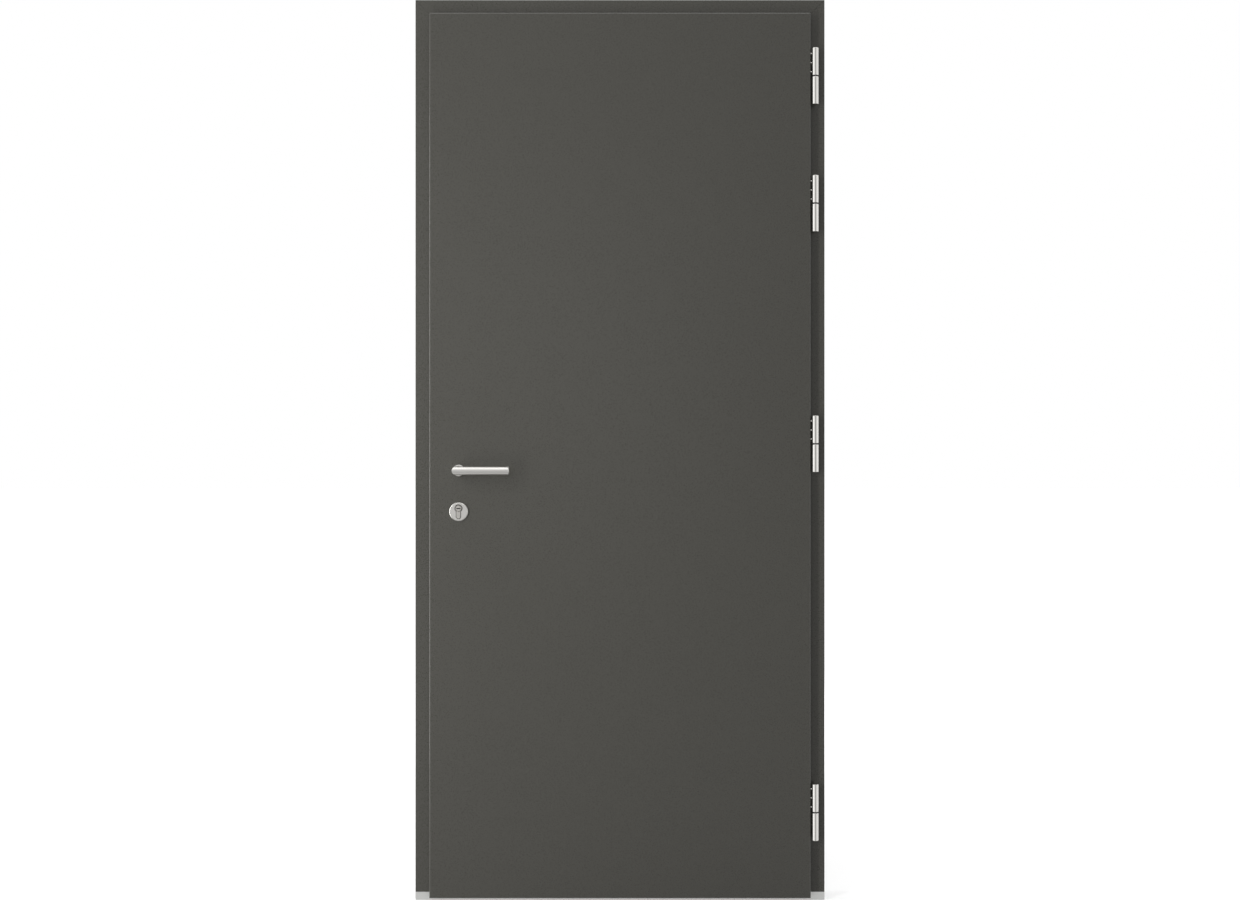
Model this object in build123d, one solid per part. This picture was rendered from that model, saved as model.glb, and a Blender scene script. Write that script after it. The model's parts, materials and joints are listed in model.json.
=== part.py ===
from build123d import *
import os

# Aluminium front door, 1000 x 2200 mm, seen from the room it opens into.
# +X is the hinge side, +Y points outdoors, +Z is up, and the origin is the middle of the
# threshold's underside. The leaf opens inwards, so its lip overlaps the frame on the -Y side.

# Frame
FRAME_WIDTH = 1000.0
FRAME_HEIGHT = 2200.0
FRAME_DEPTH = 80.0
PROFILE_WIDTH = 50.0
STOP_WIDTH = 22.0
STOP_DEPTH = 23.0
BREAK_DEPTH = 24.0
BREAK_STRIP = 4.0
BREAK_RECESS = 6.0
WALL = 2.0
WEB_FROM_REBATE = 13.0
FRAME_EDGE_RADIUS = 0.8
MITRE_GAP = 0.5

# Threshold
THRESHOLD_HEIGHT = 20.0
THRESHOLD_EDGE_RADIUS = 1.5
TREAD_GROOVES = 4
TREAD_GROOVE_WIDTH = 2.0
TREAD_GROOVE_DEPTH = 1.0
TREAD_GROOVE_PITCH = 5.0

# Leaf
REBATE_GAP = 10.0
LIP_OVERLAP_SIDE = 13.5
LIP_OVERLAP_TOP = 12.3
LIP_THICKNESS = 19.0
LIP_GAP = 5.0
FLOOR_GAP = 10.4
SILL_GAP = 8.0
STOP_GAP = 7.0
SKIN = 2.0
LEAF_EDGE_RADIUS = 3.0
STILE_WIDTH = 80.0
SASH_BREAK_DEPTH = 14.0
SASH_OUTER_DEPTH = 9.0
SASH_BREAK_RECESS = 3.0

# Seals
SEAL_CLEARANCE = 0.3
SEAL_SQUEEZE_GAP = 0.5
SEAL_GROOVE_WIDTH = 5.0
SEAL_GROOVE_DEPTH = 5.0
SEAL_FROM_STOP_EDGE = 6.0
SEAL_BULB_WIDTH = 7.0
LIP_SEAL_WIDTH = 6.0
LIP_SEAL_INSET = 4.8
SILL_SEAL_WIDTH = 16.0
SILL_SEAL_BASE = 3.0
SILL_SEAL_FIN = 2.5

# Hinges
HINGE_RADIUS = 7.9
HINGE_BARREL_LENGTH = 67.0
HINGE_SPLIT = 3.0
HINGE_LIP_GAP = 3.2
HINGE_STANDOFF = 22.0
HINGE_END_RADIUS = 1.0
HINGE_HEIGHTS_FROM_FLOOR = (219.4, 1114.6)
HINGE_DROPS_FROM_TOP = (501.3, 191.6)
HINGE_PIN_RADIUS = 4.0
HINGE_PIN_REACH = 50.0
HINGE_RUNNING_CLEARANCE = 0.05
HINGE_AXIAL_CLEARANCE = 0.3
CARRIER_RADIUS = 1.6
CARRIER_BEHIND_AXIS = 5.0
CARRIER_PITCH = 22.0
CARRIER_DROP = 1.4
CARRIER_DEPTH = 10.0
STEM_RADIUS = 4.0
STEM_PITCH = 36.0
STEM_DEPTH = 12.0
FIXED_FIT = 0.1

# Lever handles
LEVER_HEIGHT = 1050.0
LEVER_BACKSET = 48.5
LEVER_RADIUS = 10.2
LEVER_REACH = 126.0
LEVER_STANDOFF = 58.5
LEVER_END_CHAMFER = 1.2
LEVER_CAP = 9.0
LEVER_CAP_GROOVE = 0.6
LEVER_ROSE_RADIUS = 13.8
LEVER_ROSE_DEPTH = 9.0
LEVER_CLEARANCE = 0.4
LEVER_FACE_GAP = 0.5
SPINDLE_SIDE = 8.0
SPINDLE_SEAT = 32.0
SPINDLE_HOLE_RADIUS = 11.5

# Profile cylinder
CYLINDER_DROP = 92.0
CYLINDER_RADIUS = 8.5
CYLINDER_HEIGHT = 33.0
CYLINDER_STEM = 10.0
CYLINDER_PROUD = 2.0
CYLINDER_ROSE_MARGIN = 1.3
PLUG_RADIUS = 6.7
PLUG_DEPTH = 28.0
PLUG_CLEARANCE = 0.35
PLUG_SINK = 1.0
KEYWAY_WIDTH = 10.0
KEYWAY_HEIGHT = 2.4
KEYWAY_DEPTH = 22.0
CYLINDER_ROSE_RADIUS = 22.5
CYLINDER_ROSE_DEPTH = 9.0
CYLINDER_ROSE_DROP = 8.0
ROSE_BEVEL = 1.6

# Lock edge and strikes
FOREND_WIDTH = 22.0
FOREND_THICKNESS = 3.0
FOREND_BEYOND_BOLT = 100.0
LOCK_FIT = 0.3
BOLT_PROUD = 1.5
BOLT_LENGTH = 25.0
LATCH_SIZE = (12.0, 34.0)
DEAD_BOLT_SIZE = (11.0, 36.0)
SIDE_BOLT_SIZE = (10.0, 30.0)
LATCH_RISE = 16.0
DEAD_BOLT_RISE = 22.0
UPPER_BOLT_DROP_FROM_TOP = 480.0
LOWER_BOLT_HEIGHT = 380.0
STRIKE_THICKNESS = 2.0
STRIKE_MARGIN = 4.0
STRIKE_END = 45.0
STRIKE_WINDOW_MARGIN = 2.0

# Wall fixing holes in the jambs
FIXING_RADIUS = 5.25
FIXING_HEIGHTS = (300.0, 800.0)
FIXING_DROPS_FROM_TOP = (800.0, 350.0)

# Planes and edges that several pieces share
Y_IN = -FRAME_DEPTH / 2
Y_OUT = FRAME_DEPTH / 2
HALF_WIDTH = FRAME_WIDTH / 2
REBATE_X = HALF_WIDTH - PROFILE_WIDTH
LIP_BACK_Y = Y_IN - LIP_GAP
LEAF_IN_Y = LIP_BACK_Y - LIP_THICKNESS
STOP_Y = Y_OUT - STOP_DEPTH
LEAF_OUT_Y = STOP_Y - STOP_GAP
LEAF_MID_Y = (LEAF_IN_Y + LEAF_OUT_Y) / 2
LEAF_X = REBATE_X - REBATE_GAP
LEAF_BOTTOM = THRESHOLD_HEIGHT + SILL_GAP
LEAF_TOP = FRAME_HEIGHT - PROFILE_WIDTH - REBATE_GAP
LIP_X = REBATE_X + LIP_OVERLAP_SIDE
LIP_BOTTOM = FLOOR_GAP
LIP_TOP = FRAME_HEIGHT - PROFILE_WIDTH + LIP_OVERLAP_TOP
SASH_OUT_Y = LEAF_OUT_Y - SKIN
SASH_BREAK_OUT_Y = SASH_OUT_Y - SASH_OUTER_DEPTH
SASH_BREAK_IN_Y = SASH_BREAK_OUT_Y - SASH_BREAK_DEPTH
CORE_X = LEAF_X - STILE_WIDTH
CORE_BOTTOM = LEAF_BOTTOM + STILE_WIDTH
CORE_TOP = LEAF_TOP - STILE_WIDTH
HINGE_X = LIP_X + HINGE_LIP_GAP + HINGE_RADIUS
HINGE_Y = Y_IN - HINGE_STANDOFF
HINGE_SPLITS = HINGE_HEIGHTS_FROM_FLOOR + tuple(FRAME_HEIGHT - d for d in HINGE_DROPS_FROM_TOP)
LEVER_X = LEVER_BACKSET - LEAF_X
CYLINDER_Z = LEVER_HEIGHT - CYLINDER_DROP
CYLINDER_ROSE_Z = CYLINDER_Z - CYLINDER_ROSE_DROP
LOCK_Y = (Y_IN - BREAK_DEPTH / 2) / 2 - LOCK_FIT
LATCH_Z = LEVER_HEIGHT + LATCH_RISE
DEAD_BOLT_Z = CYLINDER_Z + DEAD_BOLT_RISE
UPPER_BOLT_Z = FRAME_HEIGHT - UPPER_BOLT_DROP_FROM_TOP
LOWER_BOLT_Z = LOWER_BOLT_HEIGHT
FIXING_Y = (Y_IN - BREAK_DEPTH / 2) / 2
FIXING_Z = FIXING_HEIGHTS + tuple(FRAME_HEIGHT - d for d in FIXING_DROPS_FROM_TOP)
LEFT_MITRE = Plane(origin=(-HALF_WIDTH, 0, FRAME_HEIGHT), z_dir=(1, 0, 1))
RIGHT_MITRE = Plane(origin=(HALF_WIDTH, 0, FRAME_HEIGHT), z_dir=(-1, 0, 1))
LEAF_MIRROR = Plane(origin=(0, LEAF_MID_Y, 0), z_dir=(0, 1, 0))


def block(x_span, y_span, z_span):
    """Rectangular solid between pairs of coordinates."""
    spans = (x_span, y_span, z_span)
    centre = [(low + high) / 2 for low, high in spans]
    return Pos(*centre) * Box(*[high - low for low, high in spans])


def rod(radius, start, end):
    """Round bar from one point to another."""
    line = Vector(*end) - Vector(*start)
    return extrude(Plane(origin=start, z_dir=line) * Circle(radius), line.length)


def window(u_span, v_span):
    """Rectangle of a section between pairs of coordinates."""
    (u0, u1), (v0, v1) = u_span, v_span
    return Pos((u0 + u1) / 2, (v0 + v1) / 2) * Rectangle(u1 - u0, v1 - v0)


def group(*shapes):
    """Like pieces that share a node."""
    return Compound([solid for shape in shapes for solid in shape.solids()])


def inner_shell_section():
    """Room-side shell of the frame: u from the wall side, v along the depth, two chambers."""
    back = -BREAK_DEPTH / 2
    outline = window((0, PROFILE_WIDTH), (Y_IN, back))
    outline = fillet(outline.vertices().sort_by(Axis.Y)[:2], FRAME_EDGE_RADIUS)
    web = PROFILE_WIDTH - WEB_FROM_REBATE
    depth = (Y_IN + WALL, back - WALL)
    return outline - window((WALL, web - WALL), depth) - window((web, PROFILE_WIDTH - WALL), depth)


def outer_shell_section():
    """Weather-side shell with the stop that the leaf closes against and its seal groove."""
    front = BREAK_DEPTH / 2
    edge = PROFILE_WIDTH + STOP_WIDTH
    body = window((0, PROFILE_WIDTH), (front, Y_OUT)) + window((0, edge), (STOP_Y, Y_OUT))
    groove_u = edge - SEAL_FROM_STOP_EDGE
    groove_end = STOP_Y + SEAL_GROOVE_DEPTH
    groove = window(
        (groove_u - SEAL_GROOVE_WIDTH / 2, groove_u + SEAL_GROOVE_WIDTH / 2), (STOP_Y, groove_end)
    )
    chamber = window((WALL, PROFILE_WIDTH - WALL), (front + WALL, Y_OUT - WALL))
    stop_chamber = window((PROFILE_WIDTH, edge - WALL), (groove_end + WALL, Y_OUT - WALL))
    return body - groove - chamber - stop_chamber


def break_section():
    """Two plastic strips that tie the shells together, set back from both sides."""
    depth = (-BREAK_DEPTH / 2, BREAK_DEPTH / 2)
    outer = window((BREAK_RECESS, BREAK_RECESS + BREAK_STRIP), depth)
    rebate_side = PROFILE_WIDTH - BREAK_RECESS
    return outer + window((rebate_side - BREAK_STRIP, rebate_side), depth)


def jamb(section, gap=0):
    """Lock-side jamb of a section, standing on the threshold and mitred at the top."""
    foot = Plane(origin=(-HALF_WIDTH, 0, THRESHOLD_HEIGHT), x_dir=(1, 0, 0), z_dir=(0, 0, 1))
    bar = extrude(foot * section, FRAME_HEIGHT - THRESHOLD_HEIGHT)
    return split(bar, LEFT_MITRE.offset(-gap / 2), keep=Keep.BOTTOM)


def head(section, gap=0):
    """Head of a section, mitred at both ends."""
    end = Plane(origin=(-HALF_WIDTH, 0, FRAME_HEIGHT), x_dir=(0, 0, -1), z_dir=(1, 0, 0))
    bar = extrude(end * section, FRAME_WIDTH)
    for mitre in (LEFT_MITRE, RIGHT_MITRE):
        bar = split(bar, mitre.offset(gap / 2), keep=Keep.TOP)
    return bar


def fixing_holes():
    """Drills for the wall anchors through the lock-side jamb."""
    drills = [
        rod(FIXING_RADIUS, (-HALF_WIDTH - WALL, FIXING_Y, z), (-REBATE_X + WALL, FIXING_Y, z))
        for z in FIXING_Z
    ]
    return group(*drills)


def bolt_places():
    """Size and height of each bolt of the lock edge, by name."""
    return {
        "latch": (LATCH_SIZE, LATCH_Z),
        "dead": (DEAD_BOLT_SIZE, DEAD_BOLT_Z),
        "upper": (SIDE_BOLT_SIZE, UPPER_BOLT_Z),
        "lower": (SIDE_BOLT_SIZE, LOWER_BOLT_Z),
    }


def bolt_block(name, x_span, margin):
    """Block of a bolt's outline, grown by a margin, between two X planes."""
    (width, height), z = bolt_places()[name]
    half_w = width / 2 + margin
    half_h = height / 2 + margin
    return block(x_span, (LOCK_Y - half_w, LOCK_Y + half_w), (z - half_h, z + half_h))


def strike_windows():
    """Cutters for the bolts' windows through the strikes and the jamb wall behind them."""
    span = (-REBATE_X - 2 * WALL, -REBATE_X + 2 * STRIKE_THICKNESS)
    return group(*[bolt_block(name, span, STRIKE_WINDOW_MARGIN) for name in bolt_places()])


def strike_plates():
    """Main, upper and lower strike plates on the lock jamb's rebate."""
    half = FOREND_WIDTH / 2 - STRIKE_MARGIN / 2
    x_span = (-REBATE_X, -REBATE_X + STRIKE_THICKNESS)
    y_span = (LOCK_Y - half, LOCK_Y + half)
    ends = [(DEAD_BOLT_Z, LATCH_Z), (UPPER_BOLT_Z, UPPER_BOLT_Z), (LOWER_BOLT_Z, LOWER_BOLT_Z)]
    plates = [block(x_span, y_span, (low - STRIKE_END, high + STRIKE_END)) for low, high in ends]
    rounded = [fillet(p.edges().filter_by(Axis.X), STRIKE_MARGIN) for p in plates]
    return group(*[plate - strike_windows() for plate in rounded])


def hinge_stems(split_z, clearance):
    """Two stems that carry a hinge's lower barrel in the jamb's room-side wall."""
    middle = split_z - (HINGE_SPLIT + HINGE_BARREL_LENGTH) / 2
    return [
        rod(STEM_RADIUS + clearance, (HINGE_X, HINGE_Y, z), (HINGE_X, Y_IN + STEM_DEPTH, z))
        for z in (middle - STEM_PITCH / 2, middle + STEM_PITCH / 2)
    ]


def hinge_carriers(split_z, clearance):
    """Three pins that carry a hinge's upper barrel in the edge of the lip."""
    middle = split_z + (HINGE_SPLIT + HINGE_BARREL_LENGTH) / 2 - CARRIER_DROP
    y = HINGE_Y + CARRIER_BEHIND_AXIS
    return [
        rod(CARRIER_RADIUS + clearance, (HINGE_X, y, z), (LIP_X - CARRIER_DEPTH, y, z))
        for z in (middle - CARRIER_PITCH, middle, middle + CARRIER_PITCH)
    ]


def hinge_barrel(low):
    """Round barrel with both ends rounded, from a given height."""
    barrel = rod(HINGE_RADIUS, (HINGE_X, HINGE_Y, low), (HINGE_X, HINGE_Y, low + HINGE_BARREL_LENGTH))
    return fillet(barrel.edges().filter_by(GeomType.CIRCLE), HINGE_END_RADIUS)


def pin_rod(split_z, clearance):
    """The hinge's steel pin, or the bore it runs in."""
    bottom = split_z - HINGE_SPLIT / 2 - HINGE_PIN_REACH - clearance
    top = split_z + HINGE_SPLIT / 2 + HINGE_PIN_REACH + clearance
    return rod(HINGE_PIN_RADIUS + clearance, (HINGE_X, HINGE_Y, bottom), (HINGE_X, HINGE_Y, top))


def frame_barrel(split_z):
    """Lower barrel of a hinge with its stems, bored for the pin."""
    barrel = hinge_barrel(split_z - HINGE_SPLIT / 2 - HINGE_BARREL_LENGTH)
    return barrel + hinge_stems(split_z, 0) - pin_rod(split_z, FIXED_FIT)


def leaf_barrel(split_z):
    """Upper barrel of a hinge with its carrier pins, bored to run on the pin."""
    barrel = hinge_barrel(split_z + HINGE_SPLIT / 2)
    return barrel + hinge_carriers(split_z, 0) - pin_rod(split_z, HINGE_RUNNING_CLEARANCE)


def bearing_ring(split_z):
    """Plastic ring that the leaf's barrel turns on."""
    low = split_z - HINGE_SPLIT / 2
    high = split_z + HINGE_SPLIT / 2 - HINGE_AXIAL_CLEARANCE
    ring = rod(HINGE_RADIUS - HINGE_END_RADIUS, (HINGE_X, HINGE_Y, low), (HINGE_X, HINGE_Y, high))
    return ring - pin_rod(split_z, FIXED_FIT)


def rail_along_x(section, half_length):
    """Bar along X of a section drawn with u along Y and v along Z."""
    end = Plane(origin=(-half_length, 0, 0), x_dir=(0, 1, 0), z_dir=(1, 0, 0))
    return extrude(end * section, 2 * half_length)


def threshold_inner_rail():
    """Hollow room-side rail with a softened edge."""
    depth = (Y_IN, -BREAK_DEPTH / 2)
    outline = window(depth, (0, THRESHOLD_HEIGHT))
    edge = outline.vertices().group_by(Axis.Y)[-1].sort_by(Axis.X)[0]
    outline = fillet(edge, THRESHOLD_EDGE_RADIUS)
    hollow = window((depth[0] + WALL, depth[1] - WALL), (WALL, THRESHOLD_HEIGHT - WALL))
    return rail_along_x(outline - hollow, HALF_WIDTH)


def threshold_core():
    """Plastic middle of the threshold that stops the cold."""
    return block((-HALF_WIDTH, HALF_WIDTH), (-BREAK_DEPTH / 2, BREAK_DEPTH / 2), (0, THRESHOLD_HEIGHT))


def threshold_outer_rail():
    """Hollow weather-side rail with grooves in its tread."""
    depth = (BREAK_DEPTH / 2, Y_OUT)
    outline = window(depth, (0, THRESHOLD_HEIGHT))
    edge = outline.vertices().group_by(Axis.Y)[-1].sort_by(Axis.X)[-1]
    outline = fillet(edge, THRESHOLD_EDGE_RADIUS)
    middle = (depth[0] + depth[1]) / 2
    for number in range(TREAD_GROOVES):
        v = middle + (number - (TREAD_GROOVES - 1) / 2) * TREAD_GROOVE_PITCH
        half = TREAD_GROOVE_WIDTH / 2
        floor = THRESHOLD_HEIGHT - TREAD_GROOVE_DEPTH
        outline -= window((v - half, v + half), (floor, THRESHOLD_HEIGHT))
    roof = THRESHOLD_HEIGHT - TREAD_GROOVE_DEPTH - WALL
    hollow = window((depth[0] + WALL, depth[1] - WALL), (WALL, roof))
    return rail_along_x(outline - hollow, HALF_WIDTH)


def bulb_section(centre, width, root, tip):
    """D-shaped seal bulb from its root plane to its rounded tip."""
    bulb = window((centre - width / 2, centre + width / 2), (min(root, tip), max(root, tip)))
    corners = bulb.vertices().sort_by(Axis.Y)
    rounded = corners[-2:] if tip > root else corners[:2]
    return fillet(rounded, width * 0.4)


def stop_seal():
    """Seal along the stop on three sides, with its foot in the stop's groove."""
    u = PROFILE_WIDTH + STOP_WIDTH - SEAL_FROM_STOP_EDGE
    root = STOP_Y - SEAL_CLEARANCE
    half_foot = SEAL_GROOVE_WIDTH / 2 - SEAL_CLEARANCE
    foot_end = STOP_Y + SEAL_GROOVE_DEPTH - SEAL_CLEARANCE
    section = bulb_section(u, SEAL_BULB_WIDTH, root, LEAF_OUT_Y + SEAL_SQUEEZE_GAP)
    section += window((u - half_foot, u + half_foot), (root, foot_end))
    side = jamb(section)
    return side + head(section) + mirror(side, Plane.YZ)


def lip_seal():
    """Seal round the back of the leaf's lip, pressed on the frame when shut."""
    root = LIP_BACK_Y + SEAL_CLEARANCE
    section = bulb_section(0, LIP_SEAL_WIDTH, root, Y_IN - SEAL_SQUEEZE_GAP)
    x = LIP_X - LIP_SEAL_INSET
    z_span = (LIP_BOTTOM + LIP_SEAL_INSET, LIP_TOP - LIP_SEAL_INSET)
    path = Polyline((-x, 0, z_span[0]), (-x, 0, z_span[1]), (x, 0, z_span[1]), (x, 0, z_span[0]), close=True)
    start = Plane(origin=(-x, 0, (z_span[0] + z_span[1]) / 2), x_dir=(1, 0, 0), z_dir=(0, 0, 1))
    return sweep(start * section, path=path, transition=Transition.RIGHT)


def sill_seal():
    """Two-finned seal under the leaf that brushes the threshold."""
    top = LEAF_BOTTOM - SEAL_CLEARANCE
    half = SILL_SEAL_WIDTH / 2
    tip = THRESHOLD_HEIGHT + SEAL_SQUEEZE_GAP
    section = window((LOCK_Y - half, LOCK_Y + half), (top - SILL_SEAL_BASE, top))
    section += window((LOCK_Y - half, LOCK_Y - half + SILL_SEAL_FIN), (tip, top))
    section += window((LOCK_Y + half - SILL_SEAL_FIN, LOCK_Y + half), (tip, top))
    return rail_along_x(section, LEAF_X)


def cylinder_outline(margin):
    """Keyhole-shaped section of the profile cylinder, drawn with u along X and v along Z."""
    bottom = CYLINDER_RADIUS - CYLINDER_HEIGHT
    half = CYLINDER_STEM / 2
    stem = window((-half - margin, half + margin), (bottom + half, 0))
    toe = Pos(0, bottom + half) * Circle(half + margin)
    return Circle(CYLINDER_RADIUS + margin) + stem + toe


def along_y(section, x, z, y_span):
    """Solid along Y of a section drawn with u along X and v along Z."""
    start = Plane(origin=(x, y_span[1], z), x_dir=(1, 0, 0), z_dir=(0, -1, 0))
    return extrude(start * section, y_span[1] - y_span[0])


def furniture_holes():
    """Cutters through the leaf for the spindle and the profile cylinder."""
    through = (LEAF_IN_Y - SKIN, LEAF_OUT_Y + SKIN)
    spindle_hole = along_y(Circle(SPINDLE_HOLE_RADIUS), LEVER_X, LEVER_HEIGHT, through)
    return [spindle_hole, along_y(cylinder_outline(LOCK_FIT), LEVER_X, CYLINDER_Z, through)]


def carrier_holes():
    """Cutters in the lip's edge for all the hinges' carrier pins."""
    return [pin for z in HINGE_SPLITS for pin in hinge_carriers(z, FIXED_FIT)]


def leaf_inner_skin():
    """Folded tray that covers the room side, forms the lip and turns in behind it."""
    tray = block((-LIP_X, LIP_X), (LEAF_IN_Y, LIP_BACK_Y), (LIP_BOTTOM, LIP_TOP))
    tray = fillet(tray.faces().sort_by(Axis.Y)[0].edges(), LEAF_EDGE_RADIUS)
    inside_x = LIP_X - SKIN
    inside_z = (LIP_BOTTOM + SKIN, LIP_TOP - SKIN)
    tray -= block((-inside_x, inside_x), (LEAF_IN_Y + SKIN, LIP_BACK_Y - SKIN), inside_z)
    tray -= block((-CORE_X, CORE_X), (LIP_BACK_Y - 2 * SKIN, LIP_BACK_Y + SKIN), (CORE_BOTTOM, CORE_TOP))
    return tray - furniture_holes() - carrier_holes()


def leaf_core():
    """Insulating core: a board in the tray and a block between the sash members."""
    board_x = LIP_X - SKIN
    board = block(
        (-board_x, board_x),
        (LEAF_IN_Y + SKIN, LIP_BACK_Y - SKIN),
        (LIP_BOTTOM + SKIN, LIP_TOP - SKIN),
    )
    middle = block((-CORE_X, CORE_X), (LIP_BACK_Y - SKIN, SASH_OUT_Y), (CORE_BOTTOM, CORE_TOP))
    return board + middle - furniture_holes() - carrier_holes()


def leaf_outer_skin():
    """Flat sheet that covers the weather side of the leaf."""
    sheet = block((-LEAF_X, LEAF_X), (SASH_OUT_Y, LEAF_OUT_Y), (LEAF_BOTTOM, LEAF_TOP))
    return sheet - furniture_holes()


def sash_section():
    """Sash member: u inwards from the leaf's edge, an inner and an outer aluminium chamber."""
    inner = window((0, STILE_WIDTH), (LIP_BACK_Y, SASH_BREAK_IN_Y))
    outer = window((0, STILE_WIDTH), (SASH_BREAK_OUT_Y, SASH_OUT_Y))
    hollow_u = (WALL, STILE_WIDTH - WALL)
    inner -= window(hollow_u, (LIP_BACK_Y + WALL, SASH_BREAK_IN_Y - WALL))
    outer -= window(hollow_u, (SASH_BREAK_OUT_Y + WALL, SASH_OUT_Y - WALL))
    return inner + outer


def sash_members():
    """Lock stile, hinge stile, top rail and bottom rail, mitred together."""
    top_left = Plane(origin=(-LEAF_X, 0, LEAF_TOP), z_dir=(1, 0, 1))
    bottom_left = Plane(origin=(-LEAF_X, 0, LEAF_BOTTOM), z_dir=(1, 0, -1))
    foot = Plane(origin=(-LEAF_X, 0, LEAF_BOTTOM), x_dir=(1, 0, 0), z_dir=(0, 0, 1))
    stile = extrude(foot * sash_section(), LEAF_TOP - LEAF_BOTTOM)
    stile = split(split(stile, top_left, keep=Keep.BOTTOM), bottom_left, keep=Keep.BOTTOM)
    end = Plane(origin=(-LEAF_X, 0, LEAF_TOP), x_dir=(0, 0, -1), z_dir=(1, 0, 0))
    top = extrude(end * sash_section(), 2 * LEAF_X)
    top = split(top, top_left, keep=Keep.TOP)
    top = split(top, Plane(origin=(LEAF_X, 0, LEAF_TOP), z_dir=(-1, 0, 1)), keep=Keep.TOP)
    middle_z = (LEAF_BOTTOM + LEAF_TOP) / 2
    bottom = mirror(top, Plane(origin=(0, 0, middle_z), z_dir=(0, 0, 1)))
    lock = stile - furniture_holes() - forend_plate(LOCK_FIT)
    return {
        "sash_lock_stile": lock,
        "sash_hinge_stile": mirror(stile, Plane.YZ),
        "sash_top_rail": top,
        "sash_bottom_rail": bottom,
    }


def sash_thermal_break():
    """Plastic strips between the sash shells, along both edges of each member."""
    y_span = (SASH_BREAK_IN_Y, SASH_BREAK_OUT_Y)
    strips = []
    for inset in (SASH_BREAK_RECESS, STILE_WIDTH - SASH_BREAK_RECESS - BREAK_STRIP):
        x = LEAF_X - inset
        low = LEAF_BOTTOM + inset
        high = LEAF_TOP - inset
        strips += [block((side - BREAK_STRIP, side), y_span, (low, high)) for side in (x, BREAK_STRIP - x)]
        between = x - BREAK_STRIP - LOCK_FIT
        for z in (low, high - BREAK_STRIP):
            strips.append(block((-between, between), y_span, (z, z + BREAK_STRIP)))
    return group(*strips)


def forend_plate(margin):
    """Outline of the lock's face plate, flush in the edge of the lock stile."""
    half = FOREND_WIDTH / 2 + margin
    z_span = (LOWER_BOLT_Z - FOREND_BEYOND_BOLT - margin, UPPER_BOLT_Z + FOREND_BEYOND_BOLT + margin)
    return block((-LEAF_X, FOREND_THICKNESS - LEAF_X), (LOCK_Y - half, LOCK_Y + half), z_span)


def lock_forend():
    """Face plate with a window for each bolt."""
    span = (-LEAF_X - BOLT_PROUD, 2 * FOREND_THICKNESS - LEAF_X)
    plate = fillet(forend_plate(0).edges().filter_by(Axis.X), STRIKE_MARGIN)
    return plate - [bolt_block(name, span, LOCK_FIT) for name in bolt_places()]


def lock_bolt(name):
    """Bolt drawn back until its nose just shows, with its room-side edges eased."""
    bolt = bolt_block(name, (-LEAF_X - BOLT_PROUD, BOLT_LENGTH - LEAF_X), 0)
    nose = bolt.faces().sort_by(Axis.X)[0]
    return chamfer(nose.edges().filter_by(Axis.Z), BOLT_PROUD * 0.8)


def lever_inside():
    """Lever of round tube with a mitred elbow, a capped end and a socket for the spindle."""
    elbow_y = LEAF_IN_Y - LEVER_STANDOFF
    elbow = (LEVER_X, elbow_y, LEVER_HEIGHT)
    mitre = Plane(origin=elbow, z_dir=(1, -1, 0))
    foot = (LEVER_X, LEAF_IN_Y - LEVER_FACE_GAP, LEVER_HEIGHT)
    neck = rod(LEVER_RADIUS, (LEVER_X, elbow_y - LEVER_RADIUS, LEVER_HEIGHT), foot)
    tip = LEVER_X + LEVER_REACH
    grip = rod(LEVER_RADIUS, (LEVER_X - LEVER_RADIUS, elbow_y, LEVER_HEIGHT), (tip, elbow_y, LEVER_HEIGHT))
    grip = chamfer(grip.edges().filter_by(GeomType.CIRCLE).sort_by(Axis.X)[-1], LEVER_END_CHAMFER)
    lever = split(neck, mitre, keep=Keep.BOTTOM) + split(grip, mitre, keep=Keep.TOP)
    seam = tip - LEVER_CAP
    around = Plane(origin=(seam, elbow_y, LEVER_HEIGHT), z_dir=(1, 0, 0))
    ring = Circle(LEVER_RADIUS + LEVER_CAP_GROOVE) - Circle(LEVER_RADIUS - LEVER_CAP_GROOVE)
    return lever - extrude(around * ring, LEVER_CAP_GROOVE) - spindle_bar(FIXED_FIT)


def spindle_bar(clearance):
    """Square spindle through the leaf between the two levers."""
    side = SPINDLE_SIDE + 2 * clearance
    y_span = (LEAF_IN_Y - SPINDLE_SEAT - clearance, LEAF_OUT_Y + SPINDLE_SEAT + clearance)
    return along_y(Rectangle(side, side), LEVER_X, LEVER_HEIGHT, y_span)


def lever_rose():
    """Round collar on the room side that the lever's neck turns in."""
    y_span = (LEAF_IN_Y - LEVER_ROSE_DEPTH, LEAF_IN_Y)
    collar = along_y(Circle(LEVER_ROSE_RADIUS), LEVER_X, LEVER_HEIGHT, y_span)
    collar = chamfer(collar.edges().filter_by(GeomType.CIRCLE).sort_by(Axis.Y)[0], ROSE_BEVEL / 2)
    return collar - along_y(Circle(LEVER_RADIUS + LEVER_CLEARANCE), LEVER_X, LEVER_HEIGHT, y_span)


def cylinder_rose():
    """Round rose on the room side with a bevelled rim, cut out for the profile cylinder."""
    y_span = (LEAF_IN_Y - CYLINDER_ROSE_DEPTH, LEAF_IN_Y)
    disc = along_y(Circle(CYLINDER_ROSE_RADIUS), LEVER_X, CYLINDER_ROSE_Z, y_span)
    disc = chamfer(disc.edges().filter_by(GeomType.CIRCLE).sort_by(Axis.Y)[0], ROSE_BEVEL)
    return disc - along_y(cylinder_outline(CYLINDER_ROSE_MARGIN), LEVER_X, CYLINDER_Z, y_span)


def cylinder_ends():
    """Y planes where the profile cylinder ends, proud of both roses."""
    proud = CYLINDER_ROSE_DEPTH + CYLINDER_PROUD
    return LEAF_IN_Y - proud, LEAF_OUT_Y + proud


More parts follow.
